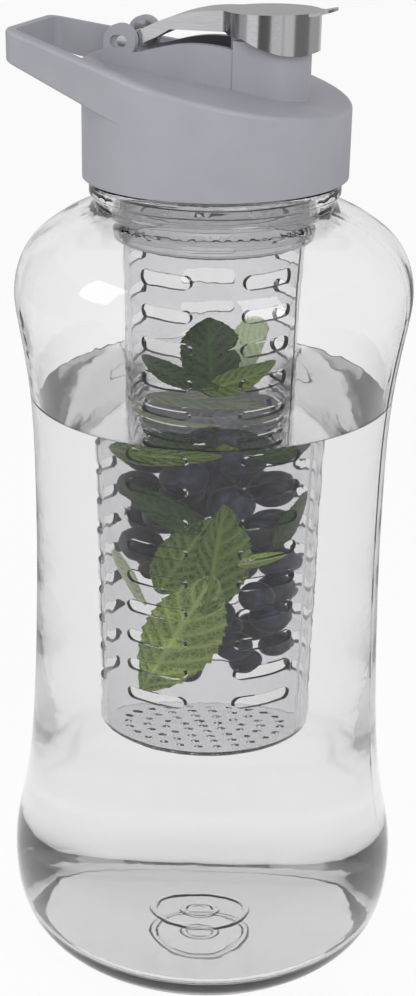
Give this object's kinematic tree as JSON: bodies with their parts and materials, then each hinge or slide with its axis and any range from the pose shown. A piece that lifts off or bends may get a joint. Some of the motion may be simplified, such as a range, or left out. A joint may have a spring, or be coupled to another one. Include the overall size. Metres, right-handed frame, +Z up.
{
  "type": "fruit infuser water bottle",
  "caption": "Clear hourglass water bottle with a screw lid, carry loop, spout under a steel flip cap and a slotted infuser basket hanging inside.",
  "frame": {"origin": "centre of the bottle's foot, on its axis", "axes": "+Z up along the bottle's axis, +X towards the spout, -X towards the carry loop"},
  "size_m": [0.1302, 0.1302, 0.3112],
  "materials": {
    "body_clear": "clear gloss",
    "lid_grey": "satin",
    "liner_grey": "satin",
    "silicone": "soft matte",
    "plug_rubber": "soft matte",
    "steel": "polished",
    "infuser_smoke": "smoky translucent"
  },
  "bodies": {
    "bottle": {"bottle_body": "body_clear"},
    "gasket": {"neck_gasket": "silicone"},
    "lid": {"lid_shell": "lid_grey", "lid_liner": "liner_grey", "hinge_pin": "steel", "infuser_seal": "silicone"},
    "cap": {"flip_cap": "steel", "cap_plug": "plug_rubber"},
    "infuser": {"infuser_collar": "infuser_smoke", "infuser_basket": "infuser_smoke"}
  },
  "joints": [
    {"name": "lid_rise", "type": "slide", "parent": "bottle", "child": "gasket", "axis": [0, 0, 1], "range_m": [0, 0.01575]},
    {"name": "lid_turn", "type": "hinge", "parent": "gasket", "child": "lid", "pos_m": [0, 0, 0.2624], "axis": [0, 0, 1], "range_deg": [0, 1260]},
    {"name": "cap_flip", "type": "hinge", "parent": "lid", "child": "cap", "pos_m": [-0.0257, 0, 0.3007], "axis": [0, -1, 0], "range_deg": [0, 155]},
    {"name": "infuser_drop", "type": "slide", "parent": "lid", "child": "infuser", "axis": [0, 0, -1], "range_m": [0, 0.06]}
  ],
  "couplings": [
    {"joint": "lid_rise", "follows": "lid_turn", "m_per_rad": 0.00071619}
  ]
}
